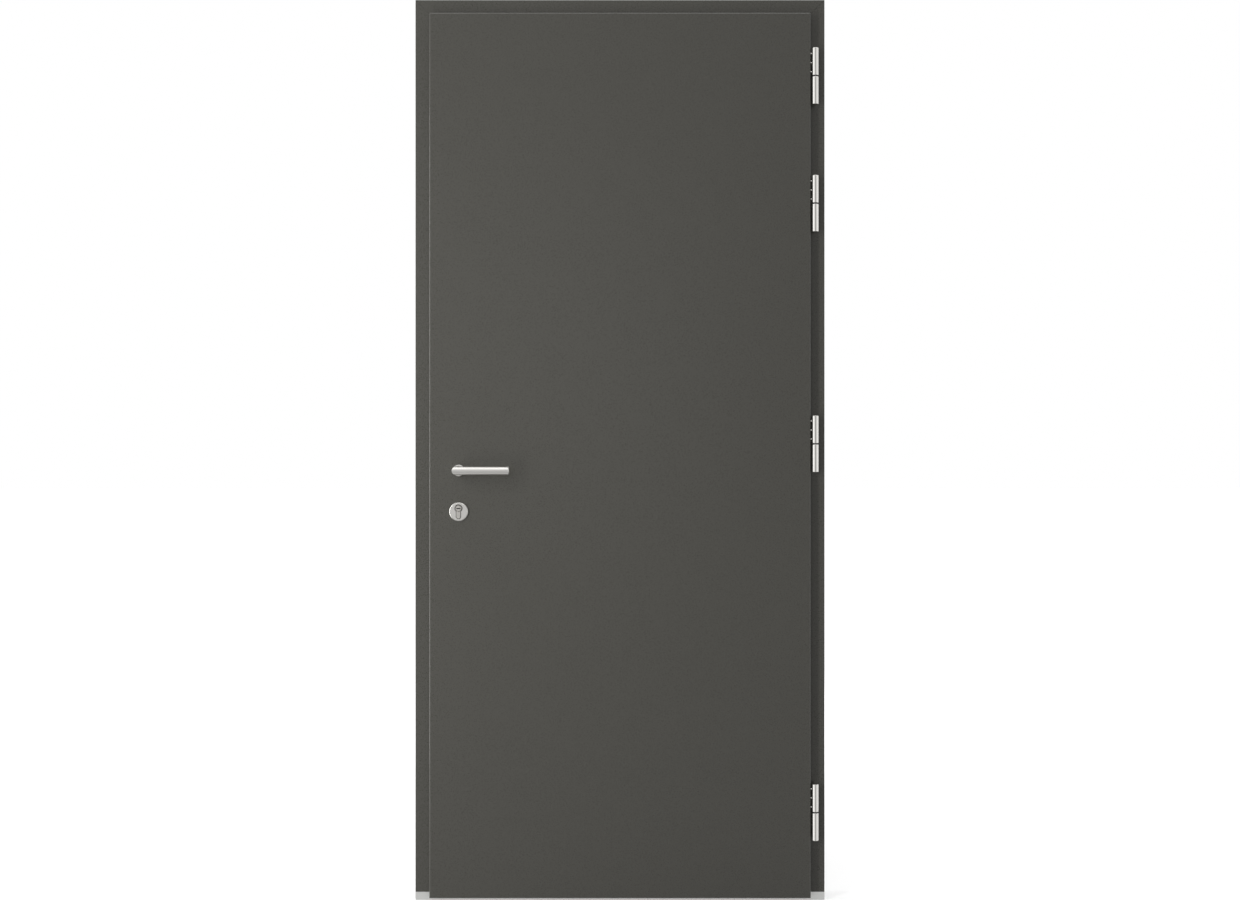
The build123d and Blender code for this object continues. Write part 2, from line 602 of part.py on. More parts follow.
def lock_cylinder():
    """Profile cylinder through the leaf, bored and countersunk at both ends for its plugs."""
    inside, outside = cylinder_ends()
    bore = Circle(PLUG_RADIUS + PLUG_CLEARANCE)
    body = along_y(cylinder_outline(0), LEVER_X, CYLINDER_Z, (inside, outside))
    body -= along_y(bore, LEVER_X, CYLINDER_Z, (inside, inside + PLUG_DEPTH))
    body -= along_y(bore, LEVER_X, CYLINDER_Z, (outside - PLUG_DEPTH, outside))
    mouth = Plane(origin=(LEVER_X, inside, CYLINDER_Z), z_dir=(0, 1, 0))
    from_face = (Align.CENTER, Align.CENTER, Align.MIN)
    sink = mouth * Cone(bore.radius + PLUG_SINK, bore.radius, PLUG_SINK, align=from_face)
    return body - list(both_sides(sink))


def plug_inside():
    """Plug of the profile cylinder with a level keyway."""
    face = cylinder_ends()[0]
    plug = along_y(Circle(PLUG_RADIUS), LEVER_X, CYLINDER_Z, (face, face + PLUG_DEPTH))
    keyway = Rectangle(KEYWAY_WIDTH, KEYWAY_HEIGHT)
    return plug - along_y(keyway, LEVER_X, CYLINDER_Z, (face, face + KEYWAY_DEPTH))


def both_sides(inside):
    """A piece of the room side and its twin on the weather side."""
    return inside, mirror(inside, LEAF_MIRROR)


def frame_nodes():
    """All the pieces that stay still."""
    lock_inner = jamb(inner_shell_section(), MITRE_GAP)
    drilled = lock_inner - fixing_holes()
    stem_holes = [stem for z in HINGE_SPLITS for stem in hinge_stems(z, FIXED_FIT)]
    nodes = {
        "lock_jamb_inner_shell": drilled - strike_windows(),
        "lock_jamb_outer_shell": jamb(outer_shell_section(), MITRE_GAP),
        "lock_jamb_thermal_break": jamb(break_section()),
        "hinge_jamb_inner_shell": mirror(drilled, Plane.YZ) - stem_holes,
        "head_inner_shell": head(inner_shell_section(), MITRE_GAP),
        "head_outer_shell": head(outer_shell_section(), MITRE_GAP),
        "head_thermal_break": head(break_section()),
        "threshold_inner_rail": threshold_inner_rail(),
        "threshold_core": threshold_core(),
        "threshold_outer_rail": threshold_outer_rail(),
        "stop_seal": stop_seal(),
        "strike_plates": strike_plates(),
        "hinge_pins": group(*[pin_rod(z, 0) for z in HINGE_SPLITS]),
        "hinge_bearing_rings": group(*[bearing_ring(z) for z in HINGE_SPLITS]),
    }
    for piece in ("outer_shell", "thermal_break"):
        nodes["hinge_jamb_" + piece] = mirror(nodes["lock_jamb_" + piece], Plane.YZ)
    for number, z in enumerate(HINGE_SPLITS, 1):
        nodes[f"hinge_{number}_frame_barrel"] = frame_barrel(z)
    return nodes


def leaf_nodes():
    """All the pieces that swing with the leaf."""
    nodes = sash_members()
    nodes["sash_thermal_break"] = sash_thermal_break()
    nodes["leaf_inner_skin"] = leaf_inner_skin()
    nodes["leaf_outer_skin"] = leaf_outer_skin()
    nodes["leaf_core"] = leaf_core()
    nodes["lip_seal"] = lip_seal()
    nodes["sill_seal"] = sill_seal()
    nodes["lock_forend"] = lock_forend()
    nodes["latch_bolt"] = lock_bolt("latch")
    nodes["lock_bolts"] = group(*[lock_bolt(name) for name in ("dead", "upper", "lower")])
    nodes["lock_cylinder"] = lock_cylinder()
    nodes["cylinder_plugs"] = group(*both_sides(plug_inside()))
    nodes["lever_rose_inside"], nodes["lever_rose_outside"] = both_sides(lever_rose())
    nodes["cylinder_rose_inside"], nodes["cylinder_rose_outside"] = both_sides(cylinder_rose())
    for number, z in enumerate(HINGE_SPLITS, 1):
        nodes[f"hinge_{number}_leaf_barrel"] = leaf_barrel(z)
    return nodes


def lever_nodes():
    """All the pieces that turn with the levers."""
    inside, outside = both_sides(lever_inside())
    return {"lever_inside": inside, "lever_outside": outside, "lever_spindle": spindle_bar(0)}


def main():
    """Write one file for each piece."""
    os.makedirs("parts", exist_ok=True)
    for name, shape in {**frame_nodes(), **leaf_nodes(), **lever_nodes()}.items():
        export_step(shape, f"parts/{name}.step")


main()
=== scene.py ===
"""Looks of the aluminium front door: seals, screws, finishes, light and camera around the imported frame.

+X is the hinge side, -Y the room, +Z up. Pieces are measured in millimetres, the studio in metres.
"""

import json
import math

import bpy
import numpy as np
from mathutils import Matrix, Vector


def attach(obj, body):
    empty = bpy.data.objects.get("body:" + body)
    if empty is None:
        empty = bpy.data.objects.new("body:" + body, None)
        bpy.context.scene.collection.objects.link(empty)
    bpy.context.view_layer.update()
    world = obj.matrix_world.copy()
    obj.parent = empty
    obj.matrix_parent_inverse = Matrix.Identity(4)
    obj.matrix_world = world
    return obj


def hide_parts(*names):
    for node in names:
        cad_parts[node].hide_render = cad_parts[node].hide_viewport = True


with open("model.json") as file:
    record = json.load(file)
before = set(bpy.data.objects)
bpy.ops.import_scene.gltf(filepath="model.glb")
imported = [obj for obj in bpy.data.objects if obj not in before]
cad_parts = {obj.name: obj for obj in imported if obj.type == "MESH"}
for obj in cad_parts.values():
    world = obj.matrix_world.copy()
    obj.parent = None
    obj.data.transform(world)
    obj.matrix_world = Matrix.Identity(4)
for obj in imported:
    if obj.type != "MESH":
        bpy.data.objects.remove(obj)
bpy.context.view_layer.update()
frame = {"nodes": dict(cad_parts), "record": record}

MM = 0.001

# Sections are points (across, out) of the right half, from the root upwards; bulbs are (width, height)
BULB_BASE = 0.4
BULB_POINTS = 25
# Stop seal, in the groove of the frame's stop
STOP_SEAL_X = 434.0
STOP_SEAL_TOP = 2134.0
STOP_FACE_Y = 17.0
THRESHOLD_TOP = 20.0
STOP_FOOT = [(1.2, -4.7), (2.2, -3.3), (1.3, -2.9), (1.3, 0.1), (3.3, 0.1), (3.4, 0.6), (2.7, 0.8)]
STOP_BULB = (6.8, 6.1)
STOP_BULB_ANGLE = -50.0
# Lip seal, round the back of the leaf's lip
LIP_SEAL_X = 458.7
LIP_SEAL_LOW = 15.2
LIP_SEAL_HIGH = 2157.5
LIP_BACK_Y = -45.0
LIP_FOOT = [(2.9, 0.0), (3.0, 0.5), (2.4, 0.9)]
LIP_BULB = (5.4, 3.8)
LIP_BULB_ANGLE = -40.0
SEAL_FIT = 0.3
# Sill seal, under the leaf
LEAF_X = 440.0
LEAF_BOTTOM = 28.0
LOCK_Y = -26.3
SILL_LIP_INSIDE = [(5.2, -2.6), (5.9, -4.6), (6.9, -7.1), (7.5, -7.2)]
SILL_LIP_OUTSIDE = [(7.9, -7.0), (7.6, -4.6), (8.0, -2.4), (8.0, 0)]
# Sealant in the mitres of the frame's top corners
FRAME_HALF_WIDTH = 500.0
FRAME_TOP = 2200.0
PROFILE_WIDTH = 50.0
STOP_WIDTH = 22.0
ROOM_SHELL_Y = (-40.0, -12.0)
WEATHER_SHELL_Y = (12.0, 40.0)
SEALANT_INSET = 0.8
SEALANT_THICKNESS = 0.48
# Screws of the lock's face plate and of the strikes
FOREND_SCREW_HEIGHTS = (300.0, 460.0, 700.0, 1145.0, 1400.0, 1640.0, 1800.0)
CYLINDER_SCREW_HEIGHT = 938.0
STRIKE_FACE_X = -448.0
STRIKE_SCREW_HEIGHTS = (349.0, 411.0, 947.0, 1023.5, 1099.0, 1689.0, 1751.0)
SCREW_RADIUS = 4.3
SCREW_POLE_RADIUS = 0.12
SCREW_RINGS = 26
SCREW_POINTS = 64
SCREW_CROWN = 0.7
SCREW_SINK = 0.4
SCREW_TURN_STEP = 37.0
RECESS_DEPTH = 0.9
RECESS_REACH = 2.5
RECESS_WIDTH = 0.95
RECESS_WALL = 0.3
# Axis of the roses, heights of their middles, end faces of the cylinder and middles of the levers' elbows
LOCK_AXIS_X = -391.5
LEVER_Z = 1050.0
CYLINDER_ROSE_Z = 950.0
CYLINDER_FACE_Y = (-75.0, 21.0)
LEVER_ELBOW_Y = (-122.5, 68.5)


# Surfaces

SHARP_ANGLE = math.radians(40)


def ring_mesh(name, rings, loop=False):
    """Mesh of tubes given as an array (tube, ring, point, xyz): each ring is a closed outline, and each quad
    joins points j and j + 1 of rings i and i + 1. A loop joins the last ring to the first; otherwise one
    flat face closes each end. Faces are turned outwards where the signed volume of the tubes is negative."""
    tubes, count, points, _ = rings.shape
    vertices = rings.reshape(-1, 3) * MM
    first = np.arange(tubes)[:, None, None] * count * points
    i = np.arange(count if loop else count - 1)[None, :, None]
    j = np.arange(points)[None, None, :]
    near = first + i * points
    far = first + (i + 1) % count * points
    after = (j + 1) % points
    around = np.broadcast_arrays(near + j, near + after, far + after, far + j)
    quads = np.stack(around, axis=-1).reshape(-1, 4)
    corner = vertices[quads]
    crossed = np.cross(corner[:, 2] - corner[:, 0], corner[:, 3] - corner[:, 1])
    outwards = (crossed * (corner.mean(axis=1) - vertices.mean(axis=0))).sum() > 0
    faces = (quads if outwards else quads[:, ::-1]).tolist()
    if not loop:
        starts = first[:, :, 0] + np.arange(points)[None, ::-1]
        ends = first[:, :, 0] + (count - 1) * points + np.arange(points)[None, :]
        caps = np.concatenate([starts, ends])
        faces += (caps if outwards else caps[:, ::-1]).tolist()
    mesh = bpy.data.meshes.new(name)
    mesh.from_pydata(vertices.tolist(), [], faces)
    mesh.polygons.foreach_set("use_smooth", np.ones(len(faces), dtype=bool))
    mesh.set_sharp_from_angle(angle=SHARP_ANGLE)
    mesh.update()
    piece = bpy.data.objects.new(name, mesh)
    bpy.context.scene.collection.objects.link(piece)
    return piece


def carried(outline, origins, across, depth):
    """Rings of an outline (a, b) carried along stations: point = origin + a * across + b * depth."""
    a, b = np.asarray(outline, float).T
    origins, across, depth = (np.asarray(v, float)[:, None, :] for v in (origins, across, depth))
    return (origins + a[None, :, None] * across + b[None, :, None] * depth)[None]


def bulb(size, low_angle):
    """Points of an oval bulb (width/2 * cos t, base + height/2 * (1 + sin t)) from the low angle on one side
    over the tip to the same angle on the other."""
    width, height = size
    t = np.radians(np.linspace(low_angle, 180 - low_angle, BULB_POINTS))
    return np.stack([width / 2 * np.cos(t), BULB_BASE + height / 2 * (1 + np.sin(t))], axis=1)


def closed_outline(half, top=np.empty((0, 2))):
    """Closed outline: the right half from the root upwards, the top, and the half mirrored back down."""
    half = np.asarray(half, float)
    return np.concatenate([half, top, half[::-1] * (-1, 1)])


def stop_seal():
    """Seal of the stop: an oval bulb on a flange with a barbed foot, carried up one jamb, across the head and
    down the other jamb. Each outline point keeps its own offset, so the corners come out mitred."""
    outline = closed_outline(STOP_FOOT, bulb(STOP_BULB, STOP_BULB_ANGLE))
    x, y, low, high = STOP_SEAL_X, STOP_FACE_Y, THRESHOLD_TOP, STOP_SEAL_TOP
    origins = [(-x, y, low), (-x, y, high), (x, y, high), (x, y, low)]
    across = [(-1, 0, 0), (-1, 0, 1), (1, 0, 1), (1, 0, 0)]
    return ring_mesh("stop_seal_epdm", carried(outline, origins, across, [(0, -1, 0)] * 4))


def lip_seal():
    """Seal of the lip: a low oval bulb on a flange, carried round the leaf as a closed mitred loop."""
    outline = closed_outline(LIP_FOOT, bulb(LIP_BULB, LIP_BULB_ANGLE))
    x, y, low, high = LIP_SEAL_X, LIP_BACK_Y + SEAL_FIT, LIP_SEAL_LOW, LIP_SEAL_HIGH
    origins = [(-x, y, low), (-x, y, high), (x, y, high), (x, y, low)]
    across = [(-1, 0, -1), (-1, 0, 1), (1, 0, 1), (1, 0, -1)]
    return ring_mesh("lip_seal_epdm", carried(outline, origins, across, [(0, 1, 0)] * 4), loop=True)


def sill_seal():
    """Seal under the leaf: a flat base with two thin lips that lean outwards, carried along X."""
    outline = closed_outline(SILL_LIP_INSIDE + SILL_LIP_OUTSIDE)
    top = LEAF_BOTTOM - SEAL_FIT
    origins = [(-LEAF_X, LOCK_Y, top), (LEAF_X, LOCK_Y, top)]
    return ring_mesh("sill_seal_epdm", carried(outline, origins, [(0, 1, 0)] * 2, [(0, 0, 1)] * 2))


def mitre_sealant():
    """Sealant in the frame's two top mitres: thin flat sheets in the mitre plane, one inside each shell's
    section and one inside the stop's. Point = corner + s * (inwards, 0, down) + (0, y, 0), and half the
    thickness to each side along the plane's normal."""
    sections = [
        (PROFILE_WIDTH, ROOM_SHELL_Y),
        (PROFILE_WIDTH, (WEATHER_SHELL_Y[0], STOP_FACE_Y)),
        (PROFILE_WIDTH + STOP_WIDTH, (STOP_FACE_Y, WEATHER_SHELL_Y[1])),
    ]
    inset = SEALANT_INSET
    depth = np.array([0.0, 1.0, 0.0])
    sheets = []
    for side in (-1, 1):
        corner = np.array([side * FRAME_HALF_WIDTH, 0, FRAME_TOP])
        inwards = np.array([-side, 0, -1])
        half = np.cross(inwards, depth) / math.sqrt(2) * SEALANT_THICKNESS / 2
        for width, (low, high) in sections:
            a, b = (inset, width - inset), (low + inset, high - inset)
            outline = [(a[0], b[0]), (a[1], b[0]), (a[1], b[1]), (a[0], b[1])]
            sheets.append(carried(outline, [corner - half, corner + half], [inwards] * 2, [depth] * 2))
    return ring_mesh("mitre_sealant", np.concatenate(sheets))


def recess_bar(short, long):
    """One bar of the cross recess, 1 inside and 0 outside: the product of two ramps as wide as the wall."""
    within = 0.5 - (np.abs(short) - RECESS_WIDTH / 2) / RECESS_WALL
    reached = 0.5 - (np.abs(long) - RECESS_REACH) / RECESS_WALL
    return np.clip(within, 0, 1) * np.clip(reached, 0, 1)


def screws(name, x, heights, outward):
    """Raised countersunk heads on an X plane: rings of radius r(s) with height
    crown * (1 - (r / R) ** 2) less a cross recess, then a skirt that sinks below the plane. The recess is
    depth * max of two bars across the middle."""
    face = np.linspace(SCREW_POLE_RADIUS, SCREW_RADIUS, SCREW_RINGS)
    radius = np.concatenate([face, [SCREW_RADIUS, SCREW_POLE_RADIUS]])[:, None]
    turn = np.linspace(0, 2 * np.pi, SCREW_POINTS, endpoint=False)[None, :]
    u, v = radius * np.cos(turn), radius * np.sin(turn)
    recess = RECESS_DEPTH * np.maximum(recess_bar(u, v), recess_bar(v, u))
    height = SCREW_CROWN * (1 - (radius / SCREW_RADIUS) ** 2) - recess
    height[-2:] = -SCREW_SINK
    spin = np.radians(SCREW_TURN_STEP * np.arange(len(heights)))[:, None, None]
    y = LOCK_Y + u * np.cos(spin) - v * np.sin(spin)
    z = np.asarray(heights)[:, None, None] + u * np.sin(spin) + v * np.cos(spin)
    out = np.broadcast_to(x + outward * height, y.shape)
    return ring_mesh(name, np.stack([out, y, z], axis=-1))


# Finishes: colours and roughness are (low, high) ends of a pattern, bump is (strength, depth in mm)

# Bright satin stainless steel, darker and lighter along its lines
STEEL = ("#E0DEDA", "#EBE9E5")
FINE_BUMP = (0.1, 0.02)
LINE_DETAIL = 3.0
LINE_ROUGHNESS = 0.6
LATHE_PITCH = 0.5


def linear(hex_colour):
    """Linear RGBA of an sRGB hex colour."""
    parts = np.array([int(hex_colour[i : i + 2], 16) for i in (1, 3, 5)]) / 255
    parts = np.where(parts <= 0.04045, parts / 12.92, ((parts + 0.055) / 1.055) ** 2.4)
    return (*parts.tolist(), 1.0)


def per_mm(size):
    """Texture scale, in repeats per metre, of a pattern whose features are this many millimetres apart."""
    return 1.0 / (size * MM)


def add(tree, kind, inputs=None, **settings):
    """Add a shader node, set its properties, and set each named input or link it to another node's output."""
    made = tree.nodes.new("ShaderNode" + kind)
    for key, value in settings.items():
        setattr(made, key, value)
    for key, value in (inputs or {}).items():
        if isinstance(value, bpy.types.NodeSocket):
            tree.links.new(value, made.inputs[key])
        else:
            made.inputs[key].default_value = value
    return made


def new_finish(name, values):
    """Material with one shader whose constant values stand on its own sockets, and its Object coordinates."""
    made = bpy.data.materials.new(name)
    made.use_nodes = True
    tree = made.node_tree
    tree.nodes.clear()
    shader = add(tree, "BsdfPrincipled", values)
    add(tree, "OutputMaterial", {"Surface": shader.outputs["BSDF"]})
    return made, tree, shader, add(tree, "TexCoord").outputs["Object"]


def dress(tree, shader, pattern, colours, roughness, bump):
    """Lead one 0-1 pattern to the shader's colour, between two hex colours, to its roughness, between two
    values, and to its normal, as a relief of so many millimetres."""
    shade = add(tree, "Mix", {0: pattern, 6: linear(colours[0]), 7: linear(colours[1])}, data_type="RGBA")
    tree.links.new(shade.outputs[2], shader.inputs["Base Color"])
    rough = add(tree, "MapRange", {"Value": pattern, "To Min": roughness[0], "To Max": roughness[1]})
    tree.links.new(rough.outputs["Result"], shader.inputs["Roughness"])
    relief = add(tree, "Bump", {"Height": pattern, "Strength": bump[0], "Distance": bump[1] * MM})
    tree.links.new(relief.outputs["Normal"], shader.inputs["Normal"])


def drawn_lines(tree, place, stretch, roughness=LINE_ROUGHNESS):
    """Pattern of fine lines: noise whose features have these sizes in mm along X, Y and Z."""
    drawn = add(tree, "Mapping", {"Vector": place, "Scale": [per_mm(size) for size in stretch]})
    inputs = {"Vector": drawn.outputs["Vector"], "Scale": 1.0, "Detail": LINE_DETAIL, "Roughness": roughness}
    return add(tree, "TexNoise", inputs).outputs["Fac"]


def off_middle(tree, y, ends):
    """Distance of a place from the middle between two Y planes, and half the distance between the planes."""
    off = add(tree, "Math", {0: y, 1: sum(ends) / 2 * MM}, operation="SUBTRACT")
    off = add(tree, "Math", {0: off.outputs[0]}, operation="ABSOLUTE")
    return off.outputs[0], (ends[1] - ends[0]) / 2 * MM


def powder_coat():
    """Polyester powder coat, baked satin: umbra grey with a faint skin of grains of about half a millimetre,
    drawn as 2.4 mm so that it shows, over a slow, faint change of tone where the coat is thicker."""
    made, tree, shader, place = new_finish("polyester_powder_coat_satin", {"IOR": 1.5})
    grain = add(tree, "TexNoise", {"Vector": place, "Scale": per_mm(2.4), "Detail": 3.0, "Roughness": 0.6})
    tone = add(tree, "TexNoise", {"Vector": place, "Scale": per_mm(70), "Detail": 2.0})
    both = add(tree, "Math", {0: grain.outputs["Fac"], 1: 0.9}, operation="MULTIPLY")
    both = add(tree, "Math", {0: tone.outputs["Fac"], 1: 0.1, 2: both.outputs[0]}, operation="MULTIPLY_ADD")
    dress(tree, shader, both.outputs[0], ("#3D3C37", "#4E4D48"), (0.24, 0.32), (0.2, 0.03))
    return made


def lined_metal(name, stretch, colours, roughness, bump):
    """Metal with fine lines along one direction, from brushing, grinding or the extrusion die, or mottled
    where the pattern has about the same size each way."""
    made, tree, shader, place = new_finish(name, {"Metallic": 1.0})
    dress(tree, shader, drawn_lines(tree, place, stretch), colours, roughness, bump)
    return made


def turned_metal(name, axis_z, colours, roughness, bump):
    """Stainless steel turned on a lathe: rings about the lock axis, noise of the distance from it."""
    made, tree, shader, place = new_finish(name, {"Metallic": 1.0})
    centre = (-LOCK_AXIS_X * MM, 0, -axis_z * MM)
    flat = add(tree, "Mapping", {"Vector": place, "Location": centre})
    flat = add(tree, "VectorMath", {0: flat.outputs["Vector"], 1: (1, 0, 1)}, operation="MULTIPLY")
    away = add(tree, "VectorMath", {0: flat.outputs["Vector"]}, operation="LENGTH")
    rings = add(tree, "CombineXYZ", {"X": away.outputs["Value"]})
    inputs = {"Vector": rings.outputs["Vector"], "Scale": per_mm(LATHE_PITCH), "Detail": LINE_DETAIL}
    lines = add(tree, "TexNoise", inputs)
    dress(tree, shader, lines.outputs["Fac"], colours, roughness, bump)
    return made


def lever_steel():
    """Stainless steel tube brushed along its length: lines along X on the grip and along Y on the neck,
    parted at the mitre of the elbow. One pattern for each side of the door's middle plane."""
    made, tree, shader, place = new_finish("stainless_tube_brushed_lengthwise", {"Metallic": 1.0})
    axes = add(tree, "SeparateXYZ", {"Vector": place})
    off, half = off_middle(tree, axes.outputs["Y"], LEVER_ELBOW_Y)
    short = add(tree, "Math", {0: half, 1: off}, operation="SUBTRACT")
    along = add(tree, "Math", {0: axes.outputs["X"], 1: LOCK_AXIS_X * MM}, operation="SUBTRACT")
    on_grip = add(tree, "Math", {0: along.outputs[0], 1: short.outputs[0]}, operation="GREATER_THAN")
    neck = drawn_lines(tree, place, (0.5, 30.0, 0.5), roughness=0.5)
    grip = drawn_lines(tree, place, (30.0, 0.5, 0.5), roughness=0.5)
    lines = add(tree, "Mix", {0: on_grip.outputs[0], 2: neck, 3: grip}, data_type="FLOAT")
    dress(tree, shader, lines.outputs[0], STEEL, (0.3, 0.42), (0.12, 0.02))
    return made


def nickel_plate(name, depth_before_painted_shade):
    """Satin nickel plate on brass, brushed upright, a little warmer than the steel. Deeper than so many
    millimetres behind both end faces it is painted near black: painted shade on the flanks in the gaps and in
    the key channel."""
    made, tree, shader, place = new_finish(name, {"Metallic": 1.0})
    lines = drawn_lines(tree, place, (0.4, 0.4, 20.0))
    dress(tree, shader, lines, ("#D8D5CF", "#E6E3DD"), (0.3, 0.45), FINE_BUMP)
    plated = shader.inputs["Base Color"].links[0].from_socket
    axes = add(tree, "SeparateXYZ", {"Vector": place})
    off, half = off_middle(tree, axes.outputs["Y"], CYLINDER_FACE_Y)
    at_face = add(tree, "Math", {0: off, 1: half - depth_before_painted_shade * MM}, operation="GREATER_THAN")
    # Near black beyond this depth from the end faces: painted shade in the gaps round the plug and body and
    # in the key channel
    shade = add(tree, "Mix", {0: at_face.outputs[0], 6: linear("#2A2724"), 7: plated}, data_type="RGBA")
    tree.links.new(shade.outputs[2], shader.inputs["Base Color"])
    return made


def epdm_rubber():
    """EPDM rubber, extruded: near black and matt, with a faint grey bloom in patches of about 7 mm."""
    made, tree, shader, place = new_finish("epdm_rubber_extruded", {"IOR": 1.5, "Sheen Weight": 0.1})
    bloom = add(tree, "TexNoise", {"Vector": place, "Scale": per_mm(7), "Detail": 4.0, "Roughness": 0.6})
    dress(tree, shader, bloom.outputs["Fac"], ("#121212", "#1F1F1E"), (0.6, 0.8), (0.2, 0.05))
    return made


def joint_sealant():
    """Polyurethane sealant, wiped: a little darker than the paint and matt, with a faint skin of pits."""
    made, tree, shader, place = new_finish("polyurethane_sealant_wiped", {"IOR": 1.5})
    pits = add(tree, "TexNoise", {"Vector": place, "Scale": per_mm(1.5), "Detail": 2.0})
    dress(tree, shader, pits.outputs["Fac"], ("#2B2A26", "#383732"), (0.6, 0.75), (0.2, 0.05))
    return made


def polyamide():
    """Glass-filled polyamide, extruded: black and matt, with pale fibre flecks of 0.8 mm."""
    made, tree, shader, place = new_finish("polyamide_glass_filled_extruded", {"IOR": 1.53})
    flecks = add(tree, "TexNoise", {"Vector": place, "Scale": per_mm(0.8), "Detail": 2.0, "Roughness": 0.7})
    dress(tree, shader, flecks.outputs["Fac"], ("#131314", "#28282A"), (0.5, 0.7), (0.2, 0.05))
    return made


def foam_board():
    """Rigid polyurethane foam, cut: cream cells of about a millimetre."""
    made, tree, shader, place = new_finish("polyurethane_foam_cut", {"IOR": 1.45})
    cells = add(tree, "TexVoronoi", {"Vector": place, "Scale": per_mm(1.1)})
    dress(tree, shader, cells.outputs["Distance"], ("#CBBF95", "#E3DAB5"), (0.8, 0.95), (0.4, 0.3))
    return made


paint = powder_coat()
lever_metal = lever_steel()
# Stainless barrels ground along their length: soft bands of light with fine upright lines.
barrel_metal = lined_metal(
    "stainless_barrel_brushed_upright",
    stretch=(0.5, 0.5, 30.0),
    colours=("#D6D4D0", "#E2E0DC"),
    roughness=(0.12, 0.22),
    bump=FINE_BUMP,
)
# Steel pins ground round, a darker grey than the barrels.
pin_metal = lined_metal(
    "steel_pin_ground",
    stretch=(0.4, 0.4, 0.6),
    colours=("#A9A9A6", "#BDBDB9"),
    roughness=(0.2, 0.3),
    bump=(0.1, 0.01),
)
# Stainless roses turned on the lathe, the cylinder's a little more matt.
lever_rose_metal = turned_metal("stainless_rose_turned_at_lever", LEVER_Z, STEEL, (0.3, 0.45), FINE_BUMP)
cylinder_rose_metal = turned_metal(
    "stainless_rose_turned_at_cylinder", CYLINDER_ROSE_Z, STEEL, (0.38, 0.5), FINE_BUMP
)
# Beyond these depths from the end faces the nickel is painted near black as shade in the gaps and the key
# channel
nickel = nickel_plate("brass_nickel_plated_cylinder", depth_before_painted_shade=2.0)
plug_nickel = nickel_plate("brass_nickel_plated_plug", depth_before_painted_shade=0.2)
# Anodised aluminium from the die: pale silver, matt, with long lines along the threshold.
anodised = lined_metal(
    "aluminium_anodised_extruded",
    stretch=(400.0, 0.7, 0.7),
    colours=("#E2E2E0", "#ECECEA"),
    roughness=(0.5, 0.62),
    bump=FINE_BUMP,
)
# Stainless strip ground lengthwise, for the face plate, the strikes and the bolts.
lock_strip = lined_metal(
    "stainless_strip_ground",
    stretch=(0.5, 0.5, 25.0),
    colours=("#A7A7A5", "#BDBDBB"),
    roughness=(0.24, 0.38),
    bump=(0.12, 0.02),
)
# Zinc-plated screws: a cooler, slightly mottled grey.
zinc = lined_metal(
    "steel_zinc_plated",
    stretch=(1.2, 1.2, 1.2),
    colours=("#A4A7AA", "#B9BCBE"),
    roughness=(0.28, 0.42),
    bump=FINE_BUMP,
)
rubber = epdm_rubber()
sealant = joint_sealant()
plastic = polyamide()
foam = foam_board()

SLOT_FINISHES = {
    "umbra_powder_coat": paint,
    "silver_aluminium": anodised,
    "satin_stainless": barrel_metal,
    "lock_steel": lock_strip,
    "nickel_plate": nickel,
    "black_polyamide": plastic,
    "seal_rubber": rubber,
    "core_foam": foam,
}
NODE_FINISHES = {
    "lever_inside": lever_metal,
    "lever_outside": lever_metal,
    "lever_spindle": pin_metal,
    "hinge_pins": pin_metal,
    "cylinder_plugs": plug_nickel,
    "lever_rose_inside": lever_rose_metal,
    "lever_rose_outside": lever_rose_metal,
    "cylinder_rose_inside": cylinder_rose_metal,
    "cylinder_rose_outside": cylinder_rose_metal,
}
for part in frame["record"]["subparts"]:
    name = part["node"]
    finish = NODE_FINISHES.get(name, SLOT_FINISHES[part["material_slot"]])
    for slot in frame["nodes"][name].material_slots:
        slot.material = finish


# New pieces on their bodies


def place_piece(piece, body, finish, slot, *stands_for):
    """Give a new piece its finish and its body, and hide the nodes it stands for. The slot argument is not
    used.
    """
    piece.data.materials.append(finish)
    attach(piece, body)
    if stands_for:
        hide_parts(*stands_for)


place_piece(stop_seal(), "frame", rubber, "seal_rubber", "stop_seal")
place_piece(lip_seal(), "leaf", rubber, "seal_rubber", "lip_seal")
place_piece(sill_seal(), "leaf", rubber, "seal_rubber", "sill_seal")
place_piece(mitre_sealant(), "frame", sealant, "seal_rubber")
forend_screws = screws("forend_screws", -LEAF_X, FOREND_SCREW_HEIGHTS + (CYLINDER_SCREW_HEIGHT,), -1)
place_piece(forend_screws, "leaf", zinc, "lock_steel")
strike_screws = screws("strike_screws", STRIKE_FACE_X, STRIKE_SCREW_HEIGHTS, 1)
place_piece(strike_screws, "frame", zinc, "lock_steel")


# Studio, in metres

# Level of the light that falls on the door
AMBIENT = 0.33
# What metal mirrors: a dim end behind the camera, by the cosine from it, and dimmer ground, by the ray's rise
DIM_END = Vector((0.06, -1.0, 0.0)).normalized()
DIM_LEVEL = 0.45
DIM_COSINES = (0.99, 0.8)
GROUND_LEVEL = 0.46
GROUND_RISE = (-0.5, -0.25)
UNDER_LEVEL = 0.9
UNDER_RISE = (-0.88, -1.0)
# Glow of the floor near the door and far from it, and the distances between which it rises
FLOOR_GLOW = (0.55, 0.82)
FLOOR_GLOW_REACH = (0.8, 2.4)
FLOOR_HALF = 40.0
FLOOR_Z = -0.0005
DOOR_MIDDLE = (0.0, -0.06, 1.1)
